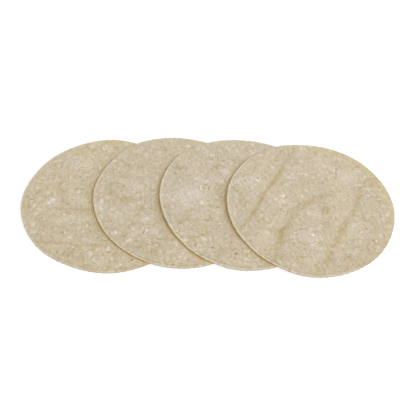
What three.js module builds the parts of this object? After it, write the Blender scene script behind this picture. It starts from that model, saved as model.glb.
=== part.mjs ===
// A row of soft corn tortillas laid one over the next. Each is a thin uneven disc that rests on
// the one to its left and sags down to the table on its right.
// Millimetres, +Z up. The row runs along X with the lowest tortilla at its left end, and the
// origin is on the table under the middle of the row.

import * as THREE from 'three';
import { mergeVertices } from 'three/addons/utils/BufferGeometryUtils.js';

const { degToRad, euclideanModulo, lerp, seededRandom, smoothstep } = THREE.MathUtils;

// Driving dimensions shared by every tortilla.
const CLEARANCE = 0.3; // air left between the highest puff and the tortilla on top of it
const SAG_REACH = 25; // how far past a lower rim the dough above it takes to sag down
const LIFT_REACH = 25; // how far in from the rim a lifted stretch starts to rise
const RIM_ROUNDING = 0.55; // width of the rounded rim, seen from above
const RIM_SHARE = 0.5; // share of the thickness below the rim's widest line
const RELIEF_LIMIT = 0.35; // highest puff above the plain face
const RINGS = 20; // rings of facets from the middle of a face to its rim

// Seeded puffs: where the dough blistered on the hot plate.
const PUFF_COUNT = 70;
const PUFF_RADIUS = { least: 4.5, most: 10.5 };
const PUFF_HEIGHT = { least: 0.12, most: RELIEF_LIMIT };
const PUFF_SPREAD = 0.93; // share of the radius that holds puffs

const DOUGH_ROUGHNESS = 0.85;

// One entry for each tortilla, lowest first. Bearings are in degrees, 0 along +X.
// edgeWaves: [waves round the rim, height, bearing of a crest].
// lifts: [bearing, half spread, height], stretches of rim that stand clear of what is below.
// creases: [from, to, half width, depth], long shallow furrows in the upper face.
// domes: [x, y, radius, height], the largest puffs, measured from the tortilla's centre.
const TORTILLAS = [
  {
    name: 'tortilla_1',
    centre: [-88.5, 3.3],
    radius: 75.8,
    thickness: 1.65,
    colour: '#c9baa0',
    seed: 11,
    edgeWaves: [[2, 0.3, 36], [3, 0.6, 79], [4, 0.4, 9], [8, 0.25, 1]],
    lifts: [[152, 24, 0.8], [-112, 20, 0.4]],
    creases: [[[-60, -11], [-8, -7], 4, 0.3], [[-56, -48], [-10, -47], 4, 0.3]],
    domes: [[-38, 26, 13, 0.3], [8, -30, 15, 0.3], [-30, -29, 12, 0.35]],
  },
  {
    name: 'tortilla_2',
    centre: [-26.2, 9.2],
    radius: 75.8,
    thickness: 1.65,
    colour: '#c9baa1',
    seed: 23,
    edgeWaves: [[4, 0.25, 17], [5, 0.25, -30], [6, 0.25, -6], [9, 0.15, 12]],
    lifts: [[182, 30, 0.5], [-72, 18, 0.4]],
    creases: [[[-46, -30], [-8, -29], 4, 0.25], [[-20, 58], [-58, 30], 4, 0.2]],
    domes: [[-26, -41, 11, 0.35], [-59, -30, 8, 0.3], [-50, 12, 13, 0.3]],
  },
  {
    name: 'tortilla_3',
    centre: [32.5, 8.6],
    radius: 76,
    thickness: 1.9,
    colour: '#cabca3',
    seed: 37,
    edgeWaves: [[2, 0.2, -32], [3, 0.45, 28], [4, 0.25, -33], [9, 0.15, -20]],
    lifts: [[186, 28, 0.9], [-85, 16, 0.6], [75, 18, 0.4]],
    creases: [[[-64, 40], [-58, 33], 3, 0.3], [[-54, -30], [-38, -30], 4, 0.25]],
    domes: [[-49, -7, 17, 0.35], [-16, 31, 10, 0.3], [-36, -52, 10, 0.3]],
  },
  {
    name: 'tortilla_4',
    centre: [92.9, 3.3],
    radius: 76.2,
    thickness: 1.9,
    colour: '#ccbea5',
    seed: 53,
    edgeWaves: [[2, 0.5, 47], [3, 0.15, 49], [4, 0.2, 0], [7, 0.15, 5]],
    lifts: [[181, 28, 0.9], [-95, 22, 0.6], [-8, 24, 0.8], [62, 20, 0.4]],
    creases: [[[-11, 61], [-64, -30], 4, 0.4], [[-34, -34], [-20, -30], 5, 0.3]],
    domes: [[36, 37, 15, 0.35], [-49, 22, 11, 0.35], [-5, -38, 13, 0.3]],
  },
];

// The distance from the centre to the rim on one bearing.
function rimRadius(tortilla, bearing) {
  const waves = tortilla.edgeWaves.map(
    ([count, height, crest]) => height * Math.cos(count * (bearing - degToRad(crest))),
  );
  return waves.reduce((sum, wave) => sum + wave, tortilla.radius);
}

// The bearing of a point from the tortilla's centre, and how far the point lies past the rim,
// negative inside it.
function placeByRim(tortilla, x, y) {
  const dx = x - tortilla.centre[0];
  const dy = y - tortilla.centre[1];
  const bearing = Math.atan2(dy, dx);
  return { bearing, past: Math.hypot(dx, dy) - rimRadius(tortilla, bearing) };
}

// The height that the lifted stretches of rim add, fading inwards and to both sides.
function rimLift(tortilla, x, y) {
  const { bearing, past } = placeByRim(tortilla, x, y);
  const heights = tortilla.lifts.map(([middle, spread, height]) => {
    const turn = euclideanModulo(bearing - degToRad(middle) + Math.PI, 2 * Math.PI) - Math.PI;
    return height * Math.exp(-((turn / degToRad(spread)) ** 2));
  });
  return smoothstep(past, -LIFT_REACH, 0) * heights.reduce((sum, height) => sum + height, 0);
}

// The height of a tortilla's underside. Over the tortilla below it follows that one's face,
// and past that one's rim it sags to the table.
function undersideHeight(index, x, y) {
  const lift = rimLift(TORTILLAS[index], x, y);
  if (index === 0) {
    return lift;
  }
  const below = TORTILLAS[index - 1];
  const held = undersideHeight(index - 1, x, y) + below.thickness + RELIEF_LIMIT + CLEARANCE;
  const sag = smoothstep(placeByRim(below, x, y).past, 0, SAG_REACH);
  return held * (1 - sag) + lift;
}

// Small puffs scattered evenly over one face.
function scatterPuffs(tortilla) {
  seededRandom(tortilla.seed);
  return Array.from({ length: PUFF_COUNT }, () => {
    const bearing = 2 * Math.PI * seededRandom();
    const reach = tortilla.radius * PUFF_SPREAD * Math.sqrt(seededRandom());
    const radius = lerp(PUFF_RADIUS.least, PUFF_RADIUS.most, seededRandom());
    const height = lerp(PUFF_HEIGHT.least, PUFF_HEIGHT.most, seededRandom());
    return [reach * Math.cos(bearing), reach * Math.sin(bearing), radius, height];
  });
}

// A round dome that is level at its top and at its foot.
function domeHeight([domeX, domeY, radius, height], x, y) {
  const share = Math.min(1, Math.hypot(x - domeX, y - domeY) / radius);
  return height * (1 - share * share) ** 2;
}

// A furrow along a straight line, deepest on the line.
function creaseDepth([from, to, halfWidth, depth], x, y) {
  const line = new THREE.Line3(new THREE.Vector3(...from, 0), new THREE.Vector3(...to, 0));
  const point = new THREE.Vector3(x, y, 0);
  const nearest = line.closestPointToPoint(point, true, new THREE.Vector3());
  return depth * Math.exp(-((nearest.distanceTo(point) / halfWidth) ** 2));
}

// The relief of the upper face, measured from the tortilla's centre.
function faceRelief(tortilla, puffs, x, y) {
  const raised = Math.max(...puffs.map((puff) => domeHeight(puff, x, y)));
  const sunk = tortilla.creases.reduce((sum, crease) => sum + creaseDepth(crease, x, y), 0);
  return raised - sunk;
}

// A closed eight-sided ball of triangles, which each tortilla is pressed from.
function makeBlank() {
  const blank = new THREE.OctahedronGeometry(1, RINGS - 1);
  blank.deleteAttribute('normal');
  blank.deleteAttribute('uv');
  return mergeVertices(blank);
}

// Where a point of the blank goes in the disc: its ring, its bearing and its face.
function placeInDisc(point) {
  const across = Math.abs(point.x) + Math.abs(point.y);
  const ring = Math.round((RINGS * across) / (across + Math.abs(point.z)));
  const quarterShare = ring === 0 ? 0 : Math.abs(point.y) / across;
  const quarterTurn = (quarterShare * Math.PI) / 2;
  const upperBearing = point.x < 0 ? Math.PI - quarterTurn : quarterTurn;
  const bearing = point.y < 0 ? -upperBearing : upperBearing;
  return { ring, bearing, isUpper: point.z > 0 };
}

// Presses the blank into one tortilla, lying where it lies in the row.
function pressTortilla(index) {
  const tortilla = TORTILLAS[index];
  const puffs = [...scatterPuffs(tortilla), ...tortilla.domes];
  const geometry = makeBlank();
  const position = geometry.getAttribute('position');
  const point = new THREE.Vector3();
  for (let i = 0; i < position.count; i += 1) {
    const { ring, bearing, isUpper } = placeInDisc(point.fromBufferAttribute(position, i));
    const isRim = ring === RINGS;
    const rim = rimRadius(tortilla, bearing);
    const reach = isRim ? rim : ((rim - RIM_ROUNDING) * ring) / (RINGS - 1);
    const x = reach * Math.cos(bearing);
    const y = reach * Math.sin(bearing);
    const faceHeight = tortilla.thickness + faceRelief(tortilla, puffs, x, y);
    const share = isRim ? RIM_SHARE : Number(isUpper);
    const rowX = tortilla.centre[0] + x;
    const rowY = tortilla.centre[1] + y;
    position.setXYZ(i, rowX, rowY, undersideHeight(index, rowX, rowY) + share * faceHeight);
  }
  geometry.computeVertexNormals();
  return geometry;
}

function cornDough(colour) {
  return new THREE.MeshStandardMaterial({
    color: colour,
    roughness: DOUGH_ROUGHNESS,
    metalness: 0,
  });
}

function makeRow() {
  const row = new THREE.Group();
  TORTILLAS.forEach((tortilla, index) => {
    const mesh = new THREE.Mesh(pressTortilla(index), cornDough(tortilla.colour));
    mesh.name = tortilla.name;
    row.add(mesh);
  });
  const middle = new THREE.Box3().setFromObject(row).getCenter(new THREE.Vector3());
  row.position.set(-middle.x, -middle.y, 0);
  return row;
}

const stack = new THREE.Group();
stack.add(makeRow());

export default stack;
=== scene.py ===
"""A row of soft corn tortillas on a white table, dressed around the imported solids.

Sizes are in millimetres, times MM where Blender needs metres. Directions round a tortilla's
centre are in degrees: 0 is towards the right end of the row, and 90 towards the back.
"""

import math

import bmesh
import bpy
import numpy as np
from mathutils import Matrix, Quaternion, Vector
from mathutils.bvhtree import BVHTree


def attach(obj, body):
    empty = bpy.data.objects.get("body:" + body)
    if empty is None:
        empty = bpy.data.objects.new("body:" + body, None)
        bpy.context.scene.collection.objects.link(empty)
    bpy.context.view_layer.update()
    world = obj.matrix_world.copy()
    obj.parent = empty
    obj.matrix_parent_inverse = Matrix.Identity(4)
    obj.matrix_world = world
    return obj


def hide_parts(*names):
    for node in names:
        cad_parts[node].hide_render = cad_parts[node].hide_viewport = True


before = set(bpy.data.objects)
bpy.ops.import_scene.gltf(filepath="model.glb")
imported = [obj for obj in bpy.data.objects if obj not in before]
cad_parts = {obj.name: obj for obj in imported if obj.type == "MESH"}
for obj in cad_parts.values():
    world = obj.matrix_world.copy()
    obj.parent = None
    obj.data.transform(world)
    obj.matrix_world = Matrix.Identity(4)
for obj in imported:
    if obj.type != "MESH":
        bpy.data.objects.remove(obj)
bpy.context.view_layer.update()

MM = 0.001
PI = math.pi
NUMBERS = (1, 2, 3, 4)  # from the lowest tortilla, at the left, to the topmost

# The camera, fitted to the outlines in the photograph. Angles are in degrees.
CAMERA_AIM = (-1.99, -5.81, 0.0)
CAMERA_DISTANCE = 700.0
CAMERA_ELEVATION = 50.78
CAMERA_BEARING = -5.46
CAMERA_ROLL = 5.49
CAMERA_LENS = 67.68
CAMERA_SENSOR = 36.0

# A white room, a table lit from below, and one large soft light low at the right that gives
# the relief its shade. The softbox and the table's reach are in metres, the power in watts.
ROOM_STRENGTH = 0.86
TABLE_GLOW = 0.76
TABLE_REACH = 3.0
TABLE_DROP = 0.05  # how far the table's face is below the dough, so that they don't merge
SOFTBOX_PLACE = (2.05, -0.42, 1.55)
SOFTBOX_SIZE = 1.35
SOFTBOX_POWER = 41.0

# How the solids are refined.
MERGE_DISTANCE = 0.01
FACET_CUTS = 6  # cuts across each edge of a solid
SMOOTH_PASSES = 24  # passes that take the facets out of the faces
SMOOTH_INSET = 0.3  # how far inside the rounded rim those passes stop
RIM_ROUNDING = 0.55  # width of a solid's sloping rim, seen from above
RIM_HALF_HEIGHT = 0.88  # from the rim's widest line to its top or base
TOP_BLUNTNESS = 2.6  # 2 is a round edge, and more is blunter
BASE_BLUNTNESS = 5.0
RELIEF_FADE = 0.6  # how far in from the rim the fine relief has its full height
RAGGEDNESS = 0.10
RAGGED_WIDTH = 3.0  # how far in from the rim it is ragged
RAGGED_WAVES = np.arange(24, 150, 3)  # how many of each wave go round the rim
THICKNESS = {1: 1.65, 2: 1.65, 3: 1.9, 4: 1.9}  # as in the solids
THINNING_WIDTH = 2.2
THINNING = 0.2  # share of the thickness that the very edge loses

# How the rims settle on the tortillas below.
SETTLE_REACH = 22.0  # how far in from the rim the dough moves down
SETTLE_INSET = 0.1  # the very rim isn't measured, only carried along
SETTLE_STEP = 2.0  # width of the rings in which the room below is measured
SETTLE_BEARINGS = 200  # how many parts each ring has
CONTACT_GAP = 0.03
TOUCHING_GAP = 0.75  # a wider gap in the solids is a lifted stretch of rim
LIFT_KEPT = 0.8  # share of such a lift that stays
RAY_START = 50.0

# The base tone of each tortilla, its base yellowness, and how clear its left lip and the painted
# highlight on it are.
BASE_TONE = {1: 0.525, 2: 0.505, 3: 0.515, 4: 0.497}
BASE_GOLD = {1: -0.5, 2: -0.7, 3: -0.82, 4: -0.74}
LIP_STRENGTH = {1: 0.5, 2: 0.7, 3: 0.9, 4: 0.85}

# Shades along the edges.
LIP_SEED = 10  # added to the number, so that the lip is uneven in its own places
LIP_UNEVENNESS = 0.22
LEFT_LIP_WIDTH = {"least": 0.45, "more": 0.4}
BACK_LIP_WIDTH = 0.7
WALL_WIDTH = 0.7
# A painted shade line inside the lip on the near side, standing for a groove: how far in, how
# wide, how much darker.
PAINTED_GROOVE_SHADE = {"inset": 2.1, "width": 0.6, "darker": 0.12}
RIM_BAND_WIDTH = 5.0
RESTING_MARGIN = 3.0  # how far past the rim below an edge still counts as resting
PAINTED_CONTACT_SHADOW_WIDTH = 1.3  # the painted golden contact shadow right beside the edge of a tortilla above
PAINTED_SOFT_SHADOW_WIDTH = 4.4  # the wider yellowish painted soft shadow round that line

# The square field that holds the surface pattern of one tortilla.
CELL = 0.4
TILE = 440

# The blisters that cover every face.
BLISTER_COUNT = 4200
BLISTER_REACH = 78.0
BLISTER_RADIUS = {"least": 0.9, "spread": 2.4, "rarity": 2.5}
BLISTER_LIGHT = {"strength": 0.19, "floor": 0.3}
BLISTER_DARK = {"strength": 0.27, "floor": 0.4}
CROWDING = {"even": 0.55, "uneven": 0.6, "size": 8.0}

# How one blister is drawn. "out" is how far outside its edge a part of it lies, and from
# BLEND on it fades into what is beside it.
BLISTER_MARGIN = 1.3
BLISTER_DOME = 0.05  # height of the skin of a blister 1 mm in radius
BLISTER_EDGE = 0.55  # how soft the edge of its pale middle is
DULL_MIDDLE = {"share": 0.35, "depth": 1.6}
OUTLINE = {"out": 0.1, "width": 0.33, "one_sided": 0.35}
HALO = {"out": 0.85, "width": 0.35, "share": 0.25}
BLEND = {"out": 0.9, "width": 0.6}

# How strongly the marks show in the tone, and how deep in the relief.
RIPPLE = {"spacing": 3.2, "tone": 3.4, "relief": 0.5, "ruffle": 0.4, "smoothing": 0.6}
BUBBLE = {"light": 0.8, "dark": 1.4}
PATCH = {"paler": 2.1, "darker": 1.5}
LINE = {"tone": 1.15, "relief": 0.7, "cleared": 4.0}  # folds are clear of blisters
SPECK_FALL = 0.6  # how fast a toasted dot fades from its middle
SWIRL = {"turns": 6.0, "size": 6.0, "tone": 0.06, "relief": 0.03}  # fine winding wrinkles
SKIN_TONE = 1.3
BACK_PAINTED_LIGHT = 0.03  # painted light: how much paler the back rim is than the middle

# Random mottling of the tone: size, stretch along X and strength.
MOTTLING = ((1.2, 1.0, 0.035), (4.0, 0.6, 0.035), (8.0, 1.0, 0.020), (16.0, 1.0, 0.012))

# Sideways wander of the blisters and lines: size and how far.
WANDER = ((4.0, 0.35), (1.6, 0.2))

# The dough's finish. Noises: size and detail. The meal's own grain is about half this size,
# too fine for the render, so it is drawn this coarse. The others are at their real size.
NOISES = {
    "grain": (0.8, 1.0),
    "wander": (2.0, 1.0),
    "presence": (6.0, 1.0),
    "blush": (3.0, 3.0),
    "yellowing": (4.0, 5.0),
}
PIN_HEAD_SPACING = 1.4
PIN_HEAD_WANDER = 0.8
GRAIN_STRENGTH = 0.45
FINE_SHARE = 0.25  # how much of the grain and pin-heads shows in the tone itself
YELLOWING_SPREAD = 2.2
BUMP_HEIGHT = 0.4

# What is laid over the dough's own tone, some of it painted light and shade: how strongly, and
# towards which colour. Each is laid over the one before.
TINTS = {
    "rim": (0.6, "#bfb086"),  # drier band round the rim
    "pale_lip_and_highlight": (0.85, "#ddd7c3"),  # pale thin edge with a painted highlight, strongest at the left and back
    "painted_wall_shade": (1.0, "#93866a"),  # painted shade on the side of the edge, strongest at the right
    "toasted": (0.97, "#8f6816"),  # toasted dots
    "painted_soft_shadow": (0.40, "#97823f"),  # painted soft shadow beside the edge on top, widest at the left
    "painted_contact_shadow": (0.74, "#cfa650"),  # painted golden contact shadow right beside that edge
    "painted_light_on_resting_edge": (0.95, "#f6e3b0"),  # painted light on the shaded side of an edge that lies on dough
}
SHADES = ("paleness", "golden", *TINTS)

# What stands out on each face, in millimetres from the tortilla's centre.
# patches: [x, y, half width, half depth, how much paler], soft-edged.
# ripples: [x, y, half width, half depth, height], fine wrinkles round a middle.
# bubbles: [x, y, half width, half depth, how much paler, how dark its outline], crisp-edged.
# lines: [half width, points of x, y and how much paler], creases and cracks.
# golds: [x, y, half width, half depth, how much yellower], soft-edged.
# specks: [x, y, radius], toasted dots.
MARKS = {
    1: {
        "patches": [
            (-16.9, 69, 11.6, 3.2, 0.04), (-34.1, 61.9, 8.3, 3.2, -0.03),
            (-24.2, 43.3, 10, 6.4, 0.07), (-52, 29.4, 2.5, 2.7, -0.12),
            (-62.5, 8.9, 2.5, 3.2, -0.10), (-41.8, 11.3, 4.1, 5.4, -0.09),
            (-37.7, -2.5, 2.5, 2.7, -0.10), (-51.9, -2.3, 5, 4.3, 0.09),
            (-25.4, 1.3, 6.6, 4.8, 0.07), (-37.5, -21.6, 7.5, 4.3, 0.08),
            (-19.3, -21.1, 5.4, 4.3, 0.07), (-29.1, -56.1, 5, 4.3, -0.08),
            (-19.5, -61.1, 3.7, 3.7, -0.09), (-4.6, -62.3, 7.5, 5.4, 0.05),
            (-58.5, -46.9, 5, 4.3, -0.05), (-10.7, -44.2, 5, 2.1, 0.08),
            (-4.4, 19.6, 6.6, 8.6, 0.03), (-68.5, -5.6, 4.1, 8.6, -0.05),
        ],
        "ripples": [
            (-4.6, -62.3, 7.5, 5.4, 0.05), (-24.2, 43.3, 10, 7.5, 0.04),
            (-37.5, -21.6, 6.6, 4.3, 0.03),
        ],
        "bubbles": [
            (-63.4, 21.3, 1.7, 1.7, 0.20, 0.12), (-54.4, 15.7, 1.3, 1.4, 0.20, 0.10),
            (-53.5, 7.7, 1.8, 1.7, 0.26, 0.12), (-47, 23.5, 3.3, 2.8, 0.14, 0.06),
            (-70.5, 6.5, 1.8, 1.9, 0.14, 0.10), (-72.6, 0, 1.3, 1.6, 0.16, 0.10),
            (-27.7, -29, 2.8, 3.4, 0.06, 0.14), (-64.1, -23.7, 3.5, 3.4, 0.12, 0.08),
            (-59.6, -30.4, 1.8, 1.9, 0.18, 0.10), (-67.3, -11.2, 2, 2.1, 0.16, 0.10),
            (-43.3, -55.2, 1.7, 1.7, 0.18, 0.10), (-34.4, -61.9, 1.7, 1.7, 0.18, 0.10),
            (-34.7, -51.6, 1.5, 1.6, 0.16, 0.10), (-41.6, -12.8, 2.1, 1.7, 0.14, 0.08),
        ],
        "lines": [
            (1.1, [(-56.8, -8.7, -0.03), (-46.4, -8.7, -0.09), (-41.1, -9.2, -0.14),
                 (-28, -10.1, -0.15), (-14.8, -10.5, -0.13)]),
            (1.2, [(-59.4, -45.9, -0.04), (-53.1, -46.2, -0.14), (-36.2, -47.2, -0.15),
                 (-24.4, -48.8, -0.17), (-18, -48.5, -0.08), (-7.9, -47.8, -0.13)]),
            (0.8, [(-47.5, -39.2, -0.10), (-47.3, -45.6, -0.14)]),
            (0.7, [(-40.5, 50.9, -0.05), (-44.1, 45.7, -0.14), (-45.3, 38.9, -0.08)]),
            (0.6, [(-38.5, 49, 0.04), (-42.5, 43.3, 0.12), (-43.5, 37.7, 0.06)]),
            (0.8, [(-37, 52.9, -0.03), (-31.8, 57.5, -0.08), (-24.6, 59.7, -0.03)]),
        ],
        "golds": [
            (2, 72, 18, 6, 0.5), (-28, 62, 16, 6, 0.3), (-49, 20, 10, 8, 0.2),
        ],
        "specks": [
            (-44.5, 40.1, 0.4), (-44.1, 37.2, 0.3), (-64.1, -23.7, 0.4), (23.5, -63.2, 0.75),
            (24.8, -61.6, 0.5),
        ],
    },
    2: {
        "patches": [
            (-34.1, 9.7, 8.3, 7.5, 0.05), (-48.5, -4.6, 5.8, 3.2, -0.11),
            (-69, -12.4, 5, 5.4, 0.10), (-28.6, -25.4, 4.1, 3.2, 0.09),
            (-25.4, -40.3, 7.5, 6.4, 0.08), (-34.5, -55.5, 5, 4.3, -0.07),
            (-19.6, -61.4, 4.1, 4.3, -0.08), (-59.9, 6.1, 4.1, 8.6, -0.06),
            (-46, 35.8, 3.3, 3.2, -0.09), (-32.1, -14.2, 3.3, 3.2, -0.06),
            (-51.3, -23.4, 8.3, 5.4, 0.05), (-11.8, -43.2, 8.3, 8.6, -0.04),
            (-49.8, -54.8, 7.5, 4.3, 0.03), (-8.5, 57.6, 10, 4.3, -0.04),
        ],
        "ripples": [
            (-25.4, -40.3, 7.1, 5.9, 0.06), (-34.1, 9.7, 7.1, 7, 0.04),
            (-53.5, 38.7, 5, 5.4, 0.03),
        ],
        "bubbles": [
            (-25.7, 62.9, 2, 1.7, 0.24, 0.10), (-33.9, 58.8, 2.2, 1.9, 0.14, 0.10),
            (-53.5, 38.7, 3.3, 3.9, 0.06, 0.14), (-41.1, 18.6, 1.2, 2.4, 0.26, 0.08),
            (-57.7, 12.1, 1.3, 1.6, 0.26, 0.12), (-69.1, 7.1, 3.5, 3.9, 0.10, 0.12),
            (-49.6, 31.1, 1.3, 1.4, 0.20, 0.08), (-64.1, -2.2, 1.7, 1.7, 0.18, 0.12),
            (-61.1, -6.5, 1.4, 1.5, 0.18, 0.12), (-56.3, -12.7, 1.5, 1.7, 0.20, 0.14),
            (-51.9, -13.3, 1.2, 1.4, 0.24, 0.12), (-40.2, -19.3, 2.2, 2.1, 0.18, 0.10),
            (-53.8, -19, 2.2, 2.4, 0.18, 0.10), (-58.8, -30.3, 2.7, 3.2, 0.16, 0.14),
            (-43.5, -30.5, 2.4, 2.6, 0.18, 0.12), (-32.4, -20.6, 2.5, 1.6, 0.18, 0.08),
            (-28.6, -25.4, 3, 2.4, 0.12, 0.05), (-34.1, 9.7, 3.7, 3.9, 0.10, 0.08),
            (-34.7, -63.8, 2, 1.9, 0.14, 0.10), (-19.5, 44, 1.7, 1.8, 0.14, 0.10),
            (-25.5, -11.4, 1.8, 1.8, 0.12, 0.10),
        ],
        "lines": [
            (0.9, [(-45.7, -33.2, -0.02), (-35.4, -32.2, -0.12), (-25, -32.2, -0.15),
                 (-16.3, -31.4, -0.08)]),
            (0.7, [(-49.3, -47.4, -0.18), (-44.4, -42.4, -0.12)]),
            (0.7, [(-49.1, -43.1, -0.10), (-45, -47.3, -0.14)]),
            (0.7, [(-28.5, 16.6, 0.06), (-27.1, 10.7, 0.12), (-29.5, 5.9, 0.05)]),
            (0.7, [(-32.5, 15.3, -0.08), (-28.7, 9.4, -0.05)]),
        ],
        "specks": [
            (-58.8, -30.3, 0.5),
        ],
    },
    3: {
        "patches": [
            (-53.5, -0.4, 14.1, 12.8, 0.07), (-41.5, 1.5, 10, 10.5, 0.035),
            (-16.1, 32.1, 5, 5.4, 0.07),
            (-22.6, 4.7, 4.1, 9.6, -0.09), (-30.1, -12.4, 6.6, 8.6, -0.02),
            (-43.7, -30.5, 7.5, 3.2, -0.08), (-36, -38.7, 5, 5.4, -0.09),
            (-46.9, -46.6, 4.1, 4.3, -0.07), (-55, 33.2, 5, 4.3, -0.07),
            (-31.9, -54.7, 7.5, 6.4, 0.03), (-21.4, -58.7, 3.3, 3.2, -0.09),
            (-22.3, 40, 4.1, 4.3, -0.08), (-39.1, 45.5, 13.3, 5.4, -0.02),
            (-6.8, -69.1, 6.6, 4.3, 0.03),
        ],
        "ripples": [
            (-36.2, 10.3, 5.8, 5.4, 0.06), (-54.3, -0.4, 12.4, 11.8, 0.03),
        ],
        "bubbles": [
            (2.4, 65, 2.3, 1.8, 0.18, 0.10), (7.2, 64.5, 1.3, 1.5, 0.18, 0.10),
            (-4.3, 48.9, 2.9, 3.2, 0.02, 0.16), (-43.7, 52.3, 3.2, 3.4, 0.04, 0.12),
            (-52.1, 51.2, 2.5, 2.8, 0.06, 0.12), (-42.9, 39, 5, 5.1, 0.02, 0.13),
            (-55.5, 30.7, 2.5, 2.8, 0.02, 0.14), (-16.1, 32.1, 4.1, 4.3, 0.12, 0.05),
            (-49.7, 3.3, 2.5, 2.8, 0.08, 0.10), (-52.4, -4.4, 2.2, 2.4, 0.10, 0.10),
            (-63.1, -5.3, 2, 2.1, 0.14, 0.08), (-57.7, 6.5, 2.7, 3, 0.06, 0.10),
            (-47.1, -11.7, 2.5, 2.6, 0.08, 0.09), (-63.1, -27.5, 1.7, 1.8, 0.22, 0.10),
            (-32, -57.9, 2.5, 2.7, 0.10, 0.12), (-21.1, -51.3, 2.3, 2.7, 0.08, 0.14),
            (-25, -36.3, 2.5, 2.8, 0.06, 0.12), (-9.9, -60.9, 3, 3.4, 0.10, 0.08),
            (-2.4, -65.9, 2.5, 2.6, 0.16, 0.06), (-17.1, -69.8, 1.7, 1.6, 0.16, 0.08),
        ],
        "lines": [
            (1, [(-61.2, -30.1, -0.04), (-55.1, -28.7, -0.16), (-49, -27.1, -0.17),
                 (-42.8, -26.9, -0.06)]),
            (1.1, [(-36.6, -25.8, -0.03), (-29.5, -24.1, -0.09), (-19.7, -22.6, -0.06)]),
            (0.7, [(-61, 41.7, -0.10), (-60.6, 36.7, -0.22), (-62.4, 31.1, -0.12)]),
            (0.6, [(-44.8, -3, -0.10), (-41.2, -8.7, -0.24), (-41.4, -12.6, -0.24),
                 (-40, -15.3, -0.10)]),
            (0.6, [(-46.3, -4.2, 0.08), (-42.8, -9.9, 0.15), (-43, -13.8, 0.08)]),
        ],
        "specks": [
            (-9.9, -60.9, 1.05), (-11.9, -56.9, 0.5), (-7.6, -56.8, 0.4),
        ],
    },
    4: {
        "patches": [
            (-29.5, -33, 4.5, 5, -0.06), (28, -21, 4, 5, -0.05),
            (11.9, -6.1, 3.7, 3.2, -0.10), (9.2, -22.1, 3.7, 9.6, -0.06),
            (-8.6, -36.9, 10, 9.6, 0.08), (-0.2, -9.9, 6.6, 4.8, 0.08),
            (36.9, 36.1, 9.1, 9.6, 0.06), (-54.2, 24.3, 11.6, 8.6, 0.08),
            (38.2, -22.9, 10.8, 6.4, 0.06), (61.4, 33.2, 6.6, 9.6, -0.07),
            (25.2, 54.6, 5.8, 4.3, -0.06), (-15.8, 38.5, 8.3, 8.6, 0.03),
            (-25.1, 5.3, 10, 7.5, 0.04), (13.8, 49.1, 7.5, 5.4, 0.05),
            (-17.5, -59.4, 8.3, 5.4, -0.04), (-47.4, -42.1, 8.3, 8.6, 0.03),
            (43.5, -47.9, 7.5, 6.4, -0.03),
        ],
        "ripples": [
            (-8.7, -38, 14, 12.5, 0.05), (-54.2, 24.3, 10.8, 8.6, 0.05),
            (36.9, 36.1, 10, 9.6, 0.04), (38.1, -24, 10.8, 7.5, 0.04),
            (-0.2, -9.9, 6.6, 5.4, 0.04),
        ],
        "bubbles": [
            (-3.6, 6.7, 1.8, 1.6, 0.26, 0.12), (-30.4, 57, 2.8, 3, 0.14, 0.10),
            (-18, 56.8, 2.3, 2.6, 0.14, 0.12), (-25.4, 2.3, 2.7, 3.1, 0.14, 0.12),
            (-30.7, 4.5, 1.7, 1.9, 0.12, 0.12), (-29.5, -3.4, 2, 2.1, 0.12, 0.12),
            (-14.3, -6.3, 2.5, 2.6, 0.14, 0.10), (-46.2, -8.4, 2.8, 2.4, 0.14, 0.06),
            (-30.4, -26.2, 2.5, 2.1, 0.16, 0.10), (21.9, 22.3, 2.3, 2.5, 0.16, 0.08),
            (63.3, 23.4, 2, 2.1, 0.18, 0.12), (-34.8, -37.8, 1.7, 1.7, 0.16, 0.10),
            (-58.5, -4.1, 1.7, 1.8, 0.14, 0.10), (-66.7, -7.8, 1.5, 1.7, 0.12, 0.10),
            (-13.1, 16.6, 2, 2.1, 0.10, 0.10), (35.7, -40.6, 2.2, 2.4, 0.10, 0.10),
            (36.9, 36.1, 8.3, 9, 0.01, 0.05), (22.1, -43.3, 2, 2.1, 0.12, 0.10),
            (50.2, 2.7, 2, 2.1, 0.12, 0.10), (21.5, -10.1, 2.2, 1.9, 0.14, 0.08),
            (-41.8, 43.9, 1.8, 1.9, 0.10, 0.10),
        ],
        "lines": [
            (3.2, [(25, 17, -0.04), (19.9, 14.2, -0.11), (7.1, 7.7, -0.12), (-4.8, 1.5, -0.13),
                 (-15.4, -8.1, -0.10), (-20.8, -18.4, -0.12), (-29.5, -31.4, -0.17),
                 (-31, -40.7, -0.15), (-36.1, -55.7, -0.10), (-38, -62, -0.04)]),
            (3.0, [(48, 24, -0.05), (45.4, 10.8, -0.10), (39, -4.6, -0.12), (29.2, -20.2, -0.15),
                 (22.6, -31.7, -0.13), (12.8, -49.2, -0.15), (3.6, -66.8, -0.12)]),
            (2.1, [(-15.6, 57.5, -0.04), (-22.6, 44.6, -0.12), (-27.1, 35.6, -0.15),
                 (-31.5, 26.6, -0.17), (-37.1, 18.1, -0.16), (-42.2, 10.5, -0.20),
                 (-48.2, -3, -0.21), (-53.2, -12, -0.18), (-58.6, -21.1, -0.15),
                 (-63.4, -27.9, -0.12), (-67.9, -34.6, -0.08)]),
            (3.8, [(-23.5, 43.5, -0.03), (-28.2, 34, -0.08), (-32.2, 26, -0.1),
                 (-37.1, 18.1, -0.04)]),
            (3.2, [(-8.3, 71.2, -0.07), (-12.3, 63, -0.1), (-17.1, 53.5, -0.08)]),
            (0.6, [(32.7, 49.4, -0.12), (28.8, 45.1, -0.26), (26.9, 36.5, -0.22),
                 (29.2, 29.9, -0.12)]),
            (0.6, [(30.6, 47.8, 0.06), (29.4, 38.1, 0.14), (31.4, 32.6, 0.06)]),
        ],
        "golds": [
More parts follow.
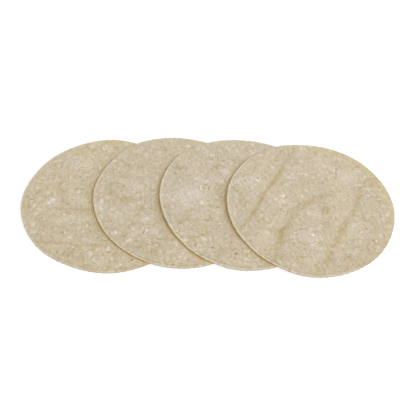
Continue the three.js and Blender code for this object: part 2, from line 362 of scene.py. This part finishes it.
            (22, 66, 14, 7, 0.35), (45, 53, 12, 9, 0.45), (61, 36, 9, 12, 0.45),
            (69, 12, 7, 12, 0.3), (36, 10, 8, 10, 0.2), (26, -30, 8, 14, 0.2),
        ],
        "specks": [
            (26.3, 33.8, 0.5),
        ],
    },
}


def srgb(code):
    """A hex colour as linear red, green, blue and alpha."""
    channels = [int(code[i:i + 2], 16) / 255 for i in (1, 3, 5)]
    linear = [c / 12.92 if c <= 0.04045 else ((c + 0.055) / 1.055) ** 2.4 for c in channels]
    return (*linear, 1.0)


def add_node(tree, kind, inputs=None, stops=(), **settings):
    """Adds a shader node, gives it its settings and colour stops, and fills or links its
    inputs."""
    node = tree.nodes.new(kind)
    for name, value in settings.items():
        setattr(node, name, value)
    for _ in stops[2:]:
        node.color_ramp.elements.new(1.0)
    for element, (position, colour) in zip(node.color_ramp.elements if stops else (), stops):
        element.position, element.color = position, colour
    for socket, source in (inputs or {}).items():
        if isinstance(source, bpy.types.NodeSocket):
            tree.links.new(source, node.inputs[socket])
        else:
            node.inputs[socket].default_value = source
    return node


def new_material(name):
    """An empty node material and its output node."""
    material = bpy.data.materials.new(name)
    material.use_nodes = True
    tree = material.node_tree
    tree.nodes.clear()
    return material, tree, add_node(tree, "ShaderNodeOutputMaterial")


def to_scene(name, data):
    """A new object at the origin, in the scene."""
    thing = bpy.data.objects.new(name, data)
    bpy.context.scene.collection.objects.link(thing)
    return thing


# ---------------------------------------------------------------- surface pattern


def smooth_step(value):
    """0 below 0, 1 above 1, and a smooth S between."""
    share = np.clip(value, 0, 1)
    return share * share * (3 - 2 * share)


def bell(distance, width):
    """1 at no distance, falling off smoothly on both sides."""
    return np.exp(-(distance / width) ** 2)


def facing(bearing, towards):
    """1 where a bearing points the given way, in degrees, and -1 where it points away."""
    return np.cos(bearing - math.radians(towards))


def lumps(rng, size, stretch=1.0):
    """Smooth random lumps about size across and stretched along X, with a spread of 1."""
    rows = np.fft.fftfreq(TILE, CELL)[:, None]
    columns = np.fft.rfftfreq(TILE, CELL)[None, :] * stretch
    waves = np.maximum(np.hypot(rows, columns), 1 / (TILE * CELL))
    octaves_away = np.log2(waves * 2 * size)
    band = np.exp(-2 * octaves_away**2)
    white = np.fft.rfft2(rng.standard_normal((TILE, TILE)))
    field = np.fft.irfft2(white * band, s=(TILE, TILE))
    return field / field.std()


def read_field(field, x, y):
    """The field's values at points measured from the tortilla's centre."""
    column = np.clip(x / CELL + TILE / 2, 0, TILE - 1.001)
    row = np.clip(y / CELL + TILE / 2, 0, TILE - 1.001)
    left, low = column.astype(int), row.astype(int)
    across, up = column - left, row - low
    lower = field[low, left] * (1 - across) + field[low, left + 1] * across
    upper = field[low + 1, left] * (1 - across) + field[low + 1, left + 1] * across
    return lower * (1 - up) + upper * up


def line_change(x, y, half_width, points):
    """How much paler a crease or crack makes each place, fading to 0 beside it."""
    change = np.zeros(x.shape)
    for (ax, ay, a_change), (bx, by, b_change) in zip(points[:-1], points[1:]):
        run_x, run_y = bx - ax, by - ay
        share = ((x - ax) * run_x + (y - ay) * run_y) / (run_x**2 + run_y**2)
        share = np.clip(share, 0, 1)
        apart = np.hypot(x - ax - share * run_x, y - ay - share * run_y)
        own = (a_change + (b_change - a_change) * share) * bell(apart, half_width)
        change = np.where(np.abs(own) > np.abs(change), own, change)
    return change


def soft_spots(x, y, spots):
    """The sum of soft oval spots: [x, y, half width, half depth, change]."""
    total = np.zeros(x.shape)
    for place_x, place_y, half_width, half_depth, change in spots:
        apart = ((x - place_x) / half_width) ** 2 + ((y - place_y) / half_depth) ** 2
        total += change * np.exp(-apart)
    return total


def add_blister(skin, relief, place, half_width, half_depth, light, dark, lean):
    """Draws one blister over what is there: a thin dark outline, strongest on one side, round
    a pale middle."""
    radius = math.sqrt(half_width * half_depth)
    reach = max(half_width, half_depth) + BLISTER_MARGIN
    first = [max(int((p - reach) / CELL + TILE / 2), 0) for p in place]
    last = [min(int((p + reach) / CELL + TILE / 2) + 2, TILE) for p in place]
    across, up = np.meshgrid(
        ((np.arange(first[0], last[0]) - TILE / 2) * CELL - place[0]) * radius / half_width,
        ((np.arange(first[1], last[1]) - TILE / 2) * CELL - place[1]) * radius / half_depth,
    )
    apart = np.hypot(across, up)
    out = apart - radius
    side = (across * math.cos(lean) + up * math.sin(lean)) / np.maximum(apart, 0.3)
    middle = smooth_step(-out / BLISTER_EDGE)
    middle *= 1 - DULL_MIDDLE["share"] * smooth_step(-out / DULL_MIDDLE["depth"])
    outline = 1 - OUTLINE["one_sided"] + OUTLINE["one_sided"] * side
    outline *= bell(out - OUTLINE["out"], OUTLINE["width"])
    halo = HALO["share"] * bell(out - HALO["out"], HALO["width"])
    own = light * middle - dark * outline + dark * halo
    share = smooth_step((BLEND["out"] - out) / BLEND["width"])
    window = slice(first[1], last[1]), slice(first[0], last[0])
    skin[window] += share * (own - skin[window])
    dome = BLISTER_DOME * math.sqrt(radius) * np.clip(1 - (apart / radius) ** 2, 0, 1)
    relief[window] = np.maximum(relief[window], dome)


def scatter_blisters(rng, skin, relief):
    """Random blisters, mostly small, crowded in some places and sparse in others."""
    crowding = CROWDING["even"] + CROWDING["uneven"] * lumps(rng, CROWDING["size"])
    for _ in range(BLISTER_COUNT):
        place = rng.uniform(-BLISTER_REACH, BLISTER_REACH, 2)
        chance, size, narrow, light, dark, turn = rng.uniform(0, 1, 6)
        radius = BLISTER_RADIUS["spread"] * size ** BLISTER_RADIUS["rarity"]
        radius += BLISTER_RADIUS["least"]
        if chance < read_field(crowding, *place):
            add_blister(
                skin, relief, place, radius * (0.85 + 0.3 * narrow), radius,
                BLISTER_LIGHT["strength"] * (BLISTER_LIGHT["floor"] + light),
                BLISTER_DARK["strength"] * (BLISTER_DARK["floor"] + dark), 2 * PI * turn,
            )


def add_ripples(rng, skin, relief, x, y, ripples):
    """Rings of fine wrinkles round a middle, broken here and there."""
    ruffle = RIPPLE["ruffle"] * lumps(rng, 5.0)
    broken = np.clip(0.8 + 0.4 * lumps(rng, 4.0), 0, 1.3)
    for place_x, place_y, half_width, half_depth, height in ripples:
        apart = np.hypot((x - place_x) / half_width, (y - place_y) / half_depth)
        across = apart * math.sqrt(half_width * half_depth) + ruffle
        share = smooth_step((1.3 - apart) / 0.4)
        rings = np.cos(2 * PI * across / RIPPLE["spacing"])
        wrinkle = RIPPLE["tone"] * height * broken * rings
        skin += share * (wrinkle * smooth_step(3 * apart) - RIPPLE["smoothing"] * skin)
        relief += RIPPLE["relief"] * share * wrinkle


def surface_pattern(seed, marks):
    """How much paler than its base tone one face is from place to place, its fine relief in
    millimetres, how toasted it is and how golden."""
    rng = np.random.default_rng(seed)
    grid = (np.arange(TILE) - TILE / 2) * CELL
    x, y = np.meshgrid(grid, grid)
    skin, relief = np.zeros(x.shape), np.zeros(x.shape)
    scatter_blisters(rng, skin, relief)
    add_ripples(rng, skin, relief, x, y, marks.get("ripples", ()))
    for place_x, place_y, half_width, half_depth, light, dark in marks.get("bubbles", ()):
        add_blister(
            skin, relief, (place_x, place_y), half_width, half_depth,
            BUBBLE["light"] * light, BUBBLE["dark"] * dark, PI / 2,
        )
    swirl = np.sin(SWIRL["turns"] * lumps(rng, SWIRL["size"]))
    swirl *= np.clip(0.45 + 0.6 * lumps(rng, 9.0), 0, 1)
    relief += SWIRL["relief"] * swirl
    skin *= np.clip(0.85 + 0.5 * lumps(rng, 2.2), 0, 1.6)

    wander_x = x + sum(far * lumps(rng, size) for size, far in WANDER)
    wander_y = y + sum(far * lumps(rng, size) for size, far in WANDER)
    lines = marks.get("lines", ())
    folded = sum(
        np.abs(line_change(x, y, 2 * half_width, points)) for half_width, points in lines
    )
    cleared = np.clip(1 - LINE["cleared"] * folded, 0, 1)
    pale = SKIN_TONE * read_field(skin, wander_x, wander_y) * cleared
    # Painted light: each face grows paler towards the back.
    pale += SWIRL["tone"] * swirl + BACK_PAINTED_LIGHT * y / BLISTER_REACH
    for size, stretch, strength in MOTTLING:
        pale += strength * lumps(rng, size, stretch)
    relief = read_field(relief, wander_x, wander_y)

    patches = marks.get("patches", ())
    pale += PATCH["paler"] * soft_spots(x, y, [patch for patch in patches if patch[4] > 0])
    pale += PATCH["darker"] * soft_spots(x, y, [patch for patch in patches if patch[4] < 0])
    for half_width, points in lines:
        change = line_change(wander_x, wander_y, half_width, points)
        pale += LINE["tone"] * change
        relief += LINE["relief"] * change
    toasted = np.zeros(x.shape)
    for place_x, place_y, radius in marks.get("specks", ()):
        apart = np.hypot(x - place_x, y - place_y) / radius
        toasted = np.maximum(toasted, np.exp(-SPECK_FALL * apart**2))
    return pale, relief, toasted, soft_spots(x, y, marks.get("golds", ()))


# ---------------------------------------------------------------- tortillas


def rim_outline(form):
    """The middle of the solid's widest line, and its bearings and radii from there."""
    edges = [
        edge for edge in form.edges
        if edge.link_faces[0].normal.z * edge.link_faces[1].normal.z < 0
    ]
    points = np.array([vert.co[:2] for edge in edges for vert in edge.verts]) / MM
    centre = (points.min(0) + points.max(0)) / 2
    offsets = points - centre
    bearings = np.arctan2(offsets[:, 1], offsets[:, 0])
    order = np.argsort(bearings)
    return centre, bearings[order], np.hypot(*offsets[order].T)


def from_rim(outline, places):
    """Places measured from a tortilla's centre, their bearings, and how far in from its rim
    they lie."""
    centre, bearings, radii = outline
    x, y = (places[:, :2] - centre).T
    bearing = np.arctan2(y, x)
    return x, y, bearing, np.interp(bearing, bearings, radii, period=2 * PI) - np.hypot(x, y)


def refine(number):
    """A merged copy of a solid with each facet cut fine and the facets smoothed out of its
    faces, and the outline of its rim."""
    form = bmesh.new()
    form.from_mesh(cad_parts[f"tortilla_{number}"].data)
    bmesh.ops.remove_doubles(form, verts=form.verts, dist=MERGE_DISTANCE * MM)
    form.normal_update()
    outline = rim_outline(form)
    bmesh.ops.subdivide_edges(form, edges=form.edges, cuts=FACET_CUTS, use_grid_fill=True)
    inward = from_rim(outline, np.array([vert.co[:] for vert in form.verts]) / MM)[3]
    inner = [
        vert for vert, depth in zip(form.verts, inward) if depth > RIM_ROUNDING + SMOOTH_INSET
    ]
    for _ in range(SMOOTH_PASSES):
        bmesh.ops.smooth_vert(
            form, verts=inner, factor=0.5,
            use_axis_x=False, use_axis_y=False, use_axis_z=True,
        )
    mesh = bpy.data.meshes.new(f"soft_tortilla_{number}")
    form.to_mesh(mesh)
    form.free()
    return mesh, outline


def height_below(trees, x, y):
    """The height of what lies under one point: the highest tortilla there, or the table."""
    start, down = Vector((x * MM, y * MM, RAY_START * MM)), Vector((0, 0, -1))
    hits = [tree.ray_cast(start, down)[0] for tree in trees]
    return max([hit.z / MM for hit in hits if hit] + [0.0])


def settle(places, is_base, bearing, inward, trees):
    """How far each point near the rim moves down for the rim to rest on what is below."""
    near = np.flatnonzero(is_base & (inward < SETTLE_REACH) & (inward > SETTLE_INSET))
    below = np.array([height_below(trees, *places[i, :2]) for i in near])
    gap = places[near, 2] - below
    room = np.maximum(gap - CONTACT_GAP - LIFT_KEPT * np.maximum(gap - TOUCHING_GAP, 0), 0)

    # The least room in each cell of rings and bearings, and in the cells beside it.
    rings = int(SETTLE_REACH / SETTLE_STEP)
    lowest = np.full((rings, SETTLE_BEARINGS), np.inf)
    turn = (bearing / (2 * PI) % 1) * SETTLE_BEARINGS
    ring = np.minimum((inward[near] / SETTLE_STEP).astype(int), rings - 1)
    np.minimum.at(lowest, (ring, turn[near].astype(int) % SETTLE_BEARINGS), room)
    shifted = [
        np.roll(lowest[np.clip(np.arange(rings) + up, 0, rings - 1)], across, axis=1)
        for up in (-1, 0, 1) for across in (-1, 0, 1)
    ]
    lowest = np.min(shifted, axis=0)
    for _ in range(2):
        lowest = (np.roll(lowest, 1, axis=1) + 2 * lowest + np.roll(lowest, -1, axis=1)) / 4

    # Each point drops by the room of the four cells round it, shared out smoothly.
    level = np.clip(inward / SETTLE_STEP - 0.5, 0, rings - 1.001)
    low, left = level.astype(int), np.floor(turn - 0.5).astype(int)
    up, across = level - low, turn - 0.5 - left
    left, right = left % SETTLE_BEARINGS, (left + 1) % SETTLE_BEARINGS
    inner = lowest[low, left] * (1 - across) + lowest[low, right] * across
    outer = lowest[low + 1, left] * (1 - across) + lowest[low + 1, right] * across
    drop = inner * (1 - up) + outer * up
    return drop * (1 - smooth_step(inward / SETTLE_REACH))


def rim_raggedness(seed, bearing):
    """How far the rim stands out on each bearing, in millimetres."""
    rng = np.random.default_rng(seed)
    heights = rng.standard_normal(len(RAGGED_WAVES)) / np.sqrt(len(RAGGED_WAVES) / 2)
    starts = rng.uniform(0, 2 * PI, len(RAGGED_WAVES))
    return RAGGEDNESS * np.cos(np.outer(bearing, RAGGED_WAVES) + starts) @ heights


def edge_shades(number, bearing, inward, is_upper):
    """The shades along a tortilla's own edge: its pale lip with a painted highlight, painted
    shade on its side wall, painted shade of a groove inside the lip, and the drier band round the
    rim."""
    # Pale lip with a painted highlight: wide and strong at the left, thin at the back.
    width = LEFT_LIP_WIDTH["more"] * smooth_step(2 * facing(bearing, 180) - 1)
    width += LEFT_LIP_WIDTH["least"]
    left_lip = bell(inward / width - 1, 1) * smooth_step(0.3 + 0.8 * facing(bearing, 200))
    unevenness = LIP_UNEVENNESS * rim_raggedness(number + LIP_SEED, bearing) / RAGGEDNESS
    left_lip *= LIP_STRENGTH[number] * np.clip(0.95 + unevenness, 0.3, 1.3)
    back_lip = bell(inward, BACK_LIP_WIDTH) * smooth_step(0.3 + 0.8 * facing(bearing, 125))
    right_side = smooth_step(1.5 * facing(bearing, 0) - 0.3)
    painted_groove_shade = bell(inward - PAINTED_GROOVE_SHADE["inset"], PAINTED_GROOVE_SHADE["width"])
    return {
        "pale_lip_and_highlight": np.maximum(left_lip, back_lip) * is_upper,
        # Painted shade on the side wall of the edge, strongest at the right.
        "painted_wall_shade": bell(inward, WALL_WIDTH) * np.where(is_upper, right_side, 0.5 + 0.5 * right_side),
        # Painted shade of a groove inside the lip, on the near side.
        "painted_groove_shade": painted_groove_shade * is_upper * smooth_step(1.5 * facing(bearing, -90) - 0.5),
        "rim": bell(inward, RIM_BAND_WIDTH) * (0.5 + 0.5 * facing(bearing, 30)) ** 1.5,
    }


def contact_shades(places, is_upper, outlines_below, outlines_above):
    """Where a tortilla lies over another, and the painted shadows on its face beside the edge of
    one on top of it: a golden contact shadow and a wider soft shadow."""
    resting, painted_contact_shadow, painted_soft_shadow = np.zeros((3, len(places)))
    for outline in outlines_below:
        inward = from_rim(outline, places)[3]
        resting = np.maximum(resting, smooth_step(inward / RESTING_MARGIN + 1))
    for outline in outlines_above:
        _, _, bearing, inward = from_rim(outline, places)
        outward = np.maximum(-inward, 0)
        leftness = smooth_step(2.6 * facing(bearing, 174.27) - 1.5)
        behind = smooth_step(2 * facing(bearing, 90) - 0.2)
        # Painted contact shadow: a golden line right beside the edge on top, fainter behind.
        line = bell(outward, PAINTED_CONTACT_SHADOW_WIDTH) * (1 - 0.75 * behind)
        painted_contact_shadow = np.maximum(painted_contact_shadow, line * is_upper)
        # Painted soft shadow beside the edge on top, widest at the left.
        painted_soft_shadow = np.maximum(painted_soft_shadow, leftness * np.exp(-outward / PAINTED_SOFT_SHADOW_WIDTH) * is_upper)
    return {"resting": resting, "painted_contact_shadow": painted_contact_shadow, "painted_soft_shadow": painted_soft_shadow}


def make_tortilla(mesh, outline, number, material, trees, outlines_below, outlines_above):
    """Finishes the refined copy of one solid: rounds, thins and settles its rim, gives its
    faces their relief, and gives every point the shades that the dough reads."""
    count = len(mesh.vertices)
    places, normals = np.empty(count * 3), np.empty(count * 3)
    mesh.vertices.foreach_get("co", places)
    mesh.vertices.foreach_get("normal", normals)
    places = places.reshape(-1, 3) / MM
    is_upper = normals.reshape(-1, 3)[:, 2] > 0
    x, y, bearing, inward = from_rim(outline, places)

    share = np.clip(1 - inward / RIM_ROUNDING, 0, 1)
    bluntness = np.where(is_upper, TOP_BLUNTNESS, BASE_BLUNTNESS)
    rounding = RIM_HALF_HEIGHT * ((1 - share**bluntness) ** (1 / bluntness) - (1 - share))
    pale_top, relief_top, toasted_top, gold_top = surface_pattern(100 * number, MARKS[number])
    pale_base = surface_pattern(100 * number + 1, {})[0]
    top = read_field(relief_top, x, y) * np.clip(inward / RELIEF_FADE, 0, 1) + rounding
    places[:, 2] += np.where(is_upper, top, -rounding)
    height = THICKNESS[number] / 2 * np.where(is_upper, 2 - share, share)
    places[:, 2] -= THINNING * height * np.clip(1 - inward / THINNING_WIDTH, 0, 1) ** 2
    if trees:
        places[:, 2] -= settle(places, ~is_upper, bearing, inward, trees)
    places[:, 2] = np.maximum(places[:, 2], 0)
    ragged = rim_raggedness(number, bearing) * smooth_step(1 - inward / RAGGED_WIDTH)
    places[:, 0] += ragged * np.cos(bearing)
    places[:, 1] += ragged * np.sin(bearing)
    mesh.vertices.foreach_set("co", (places * MM).ravel())

    shades = {
        **edge_shades(number, bearing, inward, is_upper),
        **contact_shades(places, is_upper, outlines_below, outlines_above),
        "paleness": np.where(is_upper, read_field(pale_top, x, y), read_field(pale_base, x, y)),
        "golden": BASE_GOLD[number] + read_field(gold_top, x, y),
        "toasted": np.where(is_upper, read_field(toasted_top, x, y), 0),
    }
    # Base tone, darkened by the painted groove shade inside the lip.
    shades["paleness"] += BASE_TONE[number] - PAINTED_GROOVE_SHADE["darker"] * shades["painted_groove_shade"]
    # Painted light on the shaded side of an edge that rests on the dough below.
    shades["painted_light_on_resting_edge"] = shades["painted_wall_shade"] * shades["resting"] * ~is_upper
    for label in SHADES:
        attribute = mesh.attributes.new(label, "FLOAT", "POINT")
        attribute.data.foreach_set("value", shades[label].astype(np.float32))

    mesh.polygons.foreach_set("use_smooth", [True] * len(mesh.polygons))
    mesh.materials.append(material)
    mesh.update()
    return to_scene(f"soft_tortilla_{number}", mesh)


def corn_dough():
    """Masa pressed thin and cooked on a dry hot plate: matt, with whitish blistered skin over
    yellower dough and a faint glow where light enters it."""
    material, tree, output = new_material("griddled_corn_dough")
    coordinates = add_node(tree, "ShaderNodeTexCoord").outputs["Object"]
    attributes = {
        label: add_node(tree, "ShaderNodeAttribute", attribute_name=label).outputs["Fac"]
        for label in SHADES
    }
    noises = {
        label: add_node(
            tree, "ShaderNodeTexNoise",
            {
                "Vector": coordinates, "Scale": 1 / (size * MM), "Detail": detail,
                "Roughness": 0.7,
            },
        ).outputs
        for label, (size, detail) in NOISES.items()
    }
    warped = add_node(
        tree, "ShaderNodeVectorMath",
        {0: noises["wander"]["Color"], 1: (PIN_HEAD_WANDER * MM,) * 3, 2: coordinates},
        operation="MULTIPLY_ADD",
    ).outputs[0]

    # Pin-head blisters: a pale dot, a dark ring and a dull ground, stronger in some places.
    pin_heads = add_node(
        tree, "ShaderNodeTexVoronoi",
        {"Vector": warped, "Scale": 1 / (PIN_HEAD_SPACING * MM)}, feature="F1",
    )
    pin_head = add_node(
        tree, "ShaderNodeValToRGB", {"Fac": pin_heads.outputs["Distance"]},
        stops=[
            (position, (value, value, value, 1.0))
            for position, value in ((0.0, 1.0), (0.25, 0.8), (0.42, 0.15), (0.6, 0.4), (0.8, 0.5))
        ],
    )
    pin_head = add_node(
        tree, "ShaderNodeMath", {0: pin_head.outputs["Color"], 1: 0.5}, operation="SUBTRACT",
    )
    presence = add_node(
        tree, "ShaderNodeMapRange",
        {"Value": noises["presence"]["Fac"], 1: 0.35, 2: 0.65, 3: 0.06, 4: 0.34},
    )
    tone = add_node(
        tree, "ShaderNodeMath", {0: pin_head.outputs[0], 1: presence.outputs[0]},
        operation="MULTIPLY",
    )
    # Grain of the coarse meal, and what the two together do to the colour's brightness: their own
    # tone and painted shading of their fine relief.
    grain = add_node(
        tree, "ShaderNodeMath", {0: noises["grain"]["Fac"], 1: 0.5}, operation="SUBTRACT",
    )
    fine_tone = add_node(
        tree, "ShaderNodeMath", {0: grain.outputs[0], 1: GRAIN_STRENGTH, 2: tone.outputs[0]},
        operation="MULTIPLY_ADD",
    ).outputs[0]
    # Painted light and shade of the fine relief: with their own tone, the grain and pin-heads
    # lighten and darken the colour evenly.
    grain_tone_and_painted_shading = add_node(
        tree, "ShaderNodeMapRange", {"Value": fine_tone, 1: -0.3, 2: 0.3, 3: 0.80, 4: 1.20},
    ).outputs[0]
    tone = add_node(
        tree, "ShaderNodeMath", {0: fine_tone, 1: FINE_SHARE, 2: attributes["paleness"]},
        operation="MULTIPLY_ADD",
    ).outputs[0]

    # From the yellow-brown of bare dough to the white of dry blistered skin.
    coloured = add_node(
        tree, "ShaderNodeValToRGB", {"Fac": tone},
        stops=[
            (0.0, srgb("#a08752")), (0.25, srgb("#b3a07b")), (0.5, srgb("#c2b59e")),
            (0.75, srgb("#d0c6b6")), (1.0, srgb("#e4ded2")),
        ],
    ).outputs["Color"]
    blush = add_node(
        tree, "ShaderNodeValToRGB", {"Fac": noises["blush"]["Fac"]},
        stops=[(0.3, srgb("#fffbfd")), (0.7, srgb("#fbfffc"))],
    )
    yellowing = add_node(
        tree, "ShaderNodeMath",
        {0: noises["yellowing"]["Fac"], 1: YELLOWING_SPREAD, 2: attributes["golden"]},
        operation="MULTIPLY_ADD",
    )
    yellowing = add_node(
        tree, "ShaderNodeValToRGB", {"Fac": yellowing.outputs[0]},
        stops=[(0.0, srgb("#f6f8ff")), (1.0, srgb("#fdfbee"))],
    )
    for tint in (blush.outputs["Color"], yellowing.outputs["Color"], grain_tone_and_painted_shading):
        coloured = add_node(
            tree, "ShaderNodeMix", {"Factor": 1.0, 6: coloured, 7: tint},
            data_type="RGBA", blend_type="MULTIPLY",
        ).outputs[2]
    for label, (strength, colour) in TINTS.items():
        share = add_node(
            tree, "ShaderNodeMath", {0: attributes[label], 1: strength}, operation="MULTIPLY",
        )
        coloured = add_node(
            tree, "ShaderNodeMix", {"Factor": share.outputs[0], 6: coloured, 7: srgb(colour)},
            data_type="RGBA",
        ).outputs[2]
    bump = add_node(
        tree, "ShaderNodeBump",
        {"Height": tone, "Distance": BUMP_HEIGHT * MM, "Strength": 0.6},
    )
    shader = add_node(
        tree, "ShaderNodeBsdfPrincipled",
        {
            "Base Color": coloured,
            "Roughness": 0.75,
            "IOR": 1.45,
            "Specular IOR Level": 0.3,
            "Subsurface Weight": 0.3,
            "Subsurface Radius": (1.0, 0.75, 0.45),
            "Subsurface Scale": 0.6 * MM,
            "Normal": bump.outputs["Normal"],
        },
    )
    tree.links.new(shader.outputs["BSDF"], output.inputs["Surface"])
    return material


# ---------------------------------------------------------------- table, light and camera


def table_top():
    """Opal acrylic of a light table: smooth, even and lit from below, so that hardly a shadow
    shows on the white."""
    material, tree, output = new_material("opal_acrylic")
    shader = add_node(
        tree, "ShaderNodeBsdfPrincipled",
        {
            "Base Color": srgb("#898988"), "Roughness": 0.6, "Specular IOR Level": 0.2,
            "Emission Color": srgb("#ffffff"), "Emission Strength": TABLE_GLOW,
        },
    )
    tree.links.new(shader.outputs["BSDF"], output.inputs["Surface"])
    form = bmesh.new()
    bmesh.ops.create_grid(form, x_segments=1, y_segments=1, size=TABLE_REACH)
    bmesh.ops.translate(form, verts=form.verts, vec=(0, 0, -TABLE_DROP * MM))
    mesh = bpy.data.meshes.new("table_top")
    form.to_mesh(mesh)
    form.free()
    mesh.materials.append(material)
    floor = to_scene("table_top", mesh)


def light_room():
    """White walls, and a softbox that faces the middle of the row."""
    world = bpy.data.worlds.new("white_room")
    world.use_nodes = True
    background = world.node_tree.nodes["Background"]
    background.inputs["Color"].default_value = srgb("#ffffff")
    background.inputs["Strength"].default_value = ROOM_STRENGTH
    bpy.context.scene.world = world
    light = bpy.data.lights.new("side_softbox", "AREA")
    light.shape = "SQUARE"
    light.size = SOFTBOX_SIZE
    light.energy = SOFTBOX_POWER
    softbox = to_scene("side_softbox", light)
    softbox.location = SOFTBOX_PLACE
    softbox.rotation_mode = "QUATERNION"
    softbox.rotation_quaternion = (-Vector(SOFTBOX_PLACE)).to_track_quat("-Z", "Y")
    bpy.context.scene.view_settings.view_transform = "Standard"


def place_camera():
    """The photograph's view: from the front, a little more than half way up."""
    data = bpy.data.cameras.new("camera")
    data.lens = CAMERA_LENS
    data.sensor_width = CAMERA_SENSOR
    camera = to_scene("camera", data)
    bearing, elevation = math.radians(CAMERA_BEARING), math.radians(CAMERA_ELEVATION)
    back = Vector((
        math.sin(bearing) * math.cos(elevation),
        -math.cos(bearing) * math.cos(elevation),
        math.sin(elevation),
    ))
    roll = Quaternion((0, 0, 1), math.radians(CAMERA_ROLL))
    camera.location = Vector(CAMERA_AIM) * MM + back * CAMERA_DISTANCE * MM
    camera.rotation_mode = "QUATERNION"
    camera.rotation_quaternion = (-back).to_track_quat("-Z", "Y") @ roll
    bpy.context.scene.camera = camera


place_camera()
light_room()
table_top()
dough = corn_dough()
refined = {number: refine(number) for number in NUMBERS}
trees = []
for number in NUMBERS:
    mesh, outline = refined[number]
    below = [refined[other][1] for other in NUMBERS if other < number]
    above = [refined[other][1] for other in NUMBERS if other > number]
    piece = make_tortilla(mesh, outline, number, dough, trees, below, above)
    trees.append(BVHTree.FromPolygons(
        [vert.co for vert in mesh.vertices], [polygon.vertices for polygon in mesh.polygons],
    ))
    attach(piece, "root")
    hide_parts(f"tortilla_{number}")
